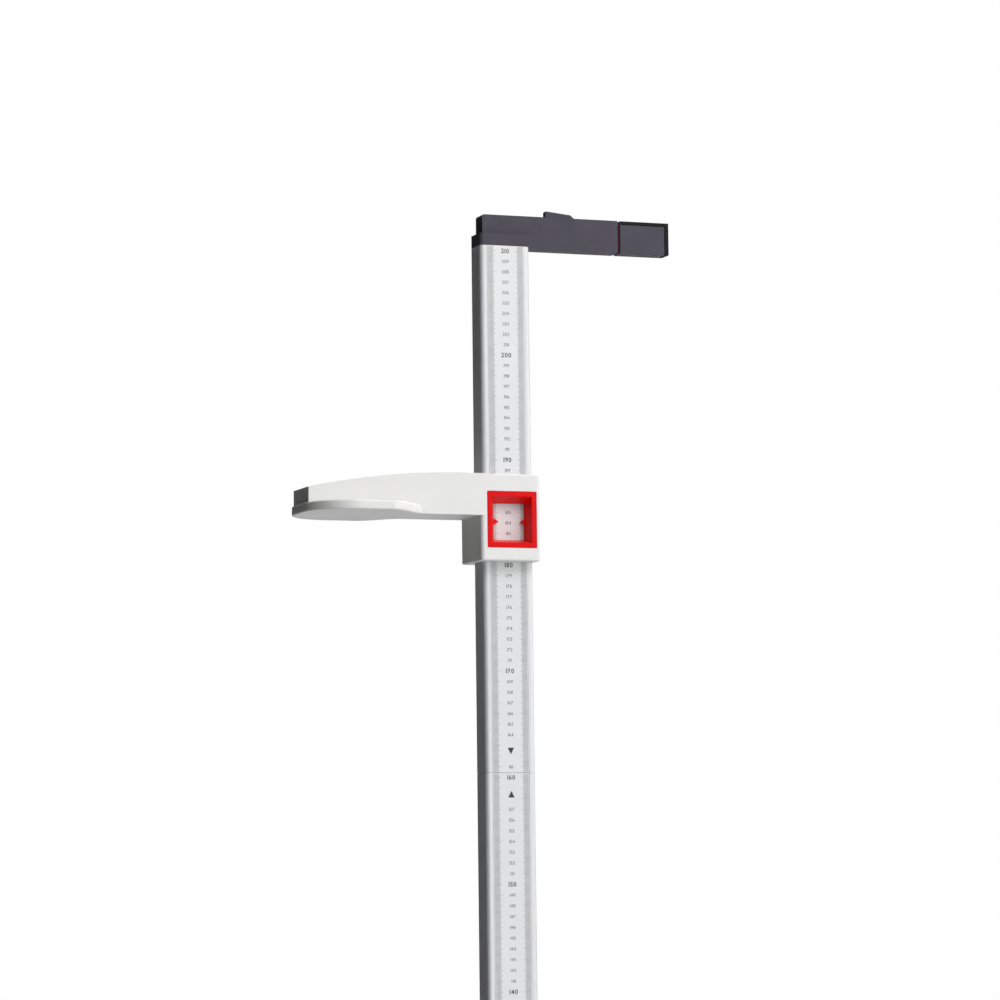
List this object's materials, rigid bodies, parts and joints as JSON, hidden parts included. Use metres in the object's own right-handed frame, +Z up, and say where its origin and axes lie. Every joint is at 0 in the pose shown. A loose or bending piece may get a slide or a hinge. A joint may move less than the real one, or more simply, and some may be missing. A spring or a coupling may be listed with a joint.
{
  "type": "free-standing stadiometer",
  "caption": "Free-standing height measuring rod: platform, sectional aluminium column with centimetre scale, sliding head piece with a reading window, and wall spacer.",
  "frame": {"origin": "on the floor, under the centre of the whole object's bounding box", "axes": "+X to the side that carries the centimetre scale and the reading window, -Y towards the person being measured, +Y towards the wall, +Z up along the column"},
  "size_m": [0.33, 0.578, 2.1526],
  "materials": {
    "anodised_aluminium": "satin silver anodised extrusion with fine lengthways drawing lines",
    "scale_strip_white": "matt white printed strip with black millimetre ticks and centimetre numbers",
    "white_plastic": "semi-gloss moulded white plastic with a fine moulded grain",
    "platform_grey_plastic": "light grey moulded plastic, fine non-slip grain",
    "dark_grey_plastic": "dark grey moulded plastic with a fine grain",
    "red_plastic": "glossy signal red moulded plastic",
    "dark_red_plastic": "dark red moulded plastic",
    "black_rubber": "matt black rubber",
    "zinc_steel": "bright zinc plated steel",
    "printing_ink": "matt black printing ink of the scale's ticks, numbers and arrows",
    "glide_plastic": "natural low-friction plastic"
  },
  "bodies": {
    "stand": {"column_section_1": "anodised_aluminium", "column_section_2": "anodised_aluminium", "column_section_3": "anodised_aluminium", "column_section_4": "anodised_aluminium", "scale_strip_1": "scale_strip_white", "scale_strip_2": "scale_strip_white", "scale_strip_3": "scale_strip_white", "scale_strip_4": "scale_strip_white", "platform_top": "platform_grey_plastic", "platform_bottom_plate": "platform_grey_plastic", "platform_ribs": "platform_grey_plastic", "column_socket": "dark_grey_plastic", "spacer_housing": "dark_grey_plastic", "joint_plug_1": "dark_grey_plastic", "joint_plug_2": "dark_grey_plastic", "joint_plug_3": "dark_grey_plastic", "foot_pad_front_left": "black_rubber", "foot_pad_front_right": "black_rubber", "foot_pad_back_left": "black_rubber", "foot_pad_back_right": "black_rubber", "latch_spring": "zinc_steel", "platform_screw_1": "zinc_steel", "platform_screw_2": "zinc_steel", "platform_screw_3": "zinc_steel", "platform_screw_4": "zinc_steel", "socket_screw_1": "zinc_steel", "socket_screw_2": "zinc_steel", "socket_screw_3": "zinc_steel", "socket_screw_4": "zinc_steel"},
    "head_slide": {"slide_housing": "white_plastic", "slide_rear_cover": "white_plastic", "window_frame": "red_plastic", "arm_beam": "white_plastic", "head_plate": "white_plastic", "brake_pad": "black_rubber", "brake_spring": "zinc_steel", "glide_pad_front_top": "glide_plastic", "glide_pad_front_bottom": "glide_plastic", "glide_pad_side_top": "glide_plastic", "glide_pad_side_bottom": "glide_plastic", "cover_screw_1": "zinc_steel", "cover_screw_2": "zinc_steel", "cover_screw_3": "zinc_steel", "cover_screw_4": "zinc_steel", "arm_screw_1": "zinc_steel", "arm_screw_2": "zinc_steel", "arm_screw_3": "zinc_steel", "arm_screw_4": "zinc_steel"},
    "spacer_end": {"spacer_end_piece": "dark_grey_plastic", "spacer_stop_ring": "dark_red_plastic", "wall_bumper": "black_rubber"},
    "latch": {"latch_button": "dark_grey_plastic"}
  },
  "joints": [
    {"name": "head_slide_travel", "type": "slide", "parent": "stand", "child": "head_slide", "axis": [0, 0, 1], "range_m": [-1.635, 0.215]},
    {"name": "spacer_extend", "type": "slide", "parent": "stand", "child": "spacer_end", "axis": [0, 1, 0], "range_m": [0, 0.05]},
    {"name": "latch_press", "type": "slide", "parent": "stand", "child": "latch", "axis": [0, 0, -1], "range_m": [0, 0.003], "stiffness_N_per_m": 600, "springref_m": -0.0015, "deforming": ["latch_spring"]}
  ]
}
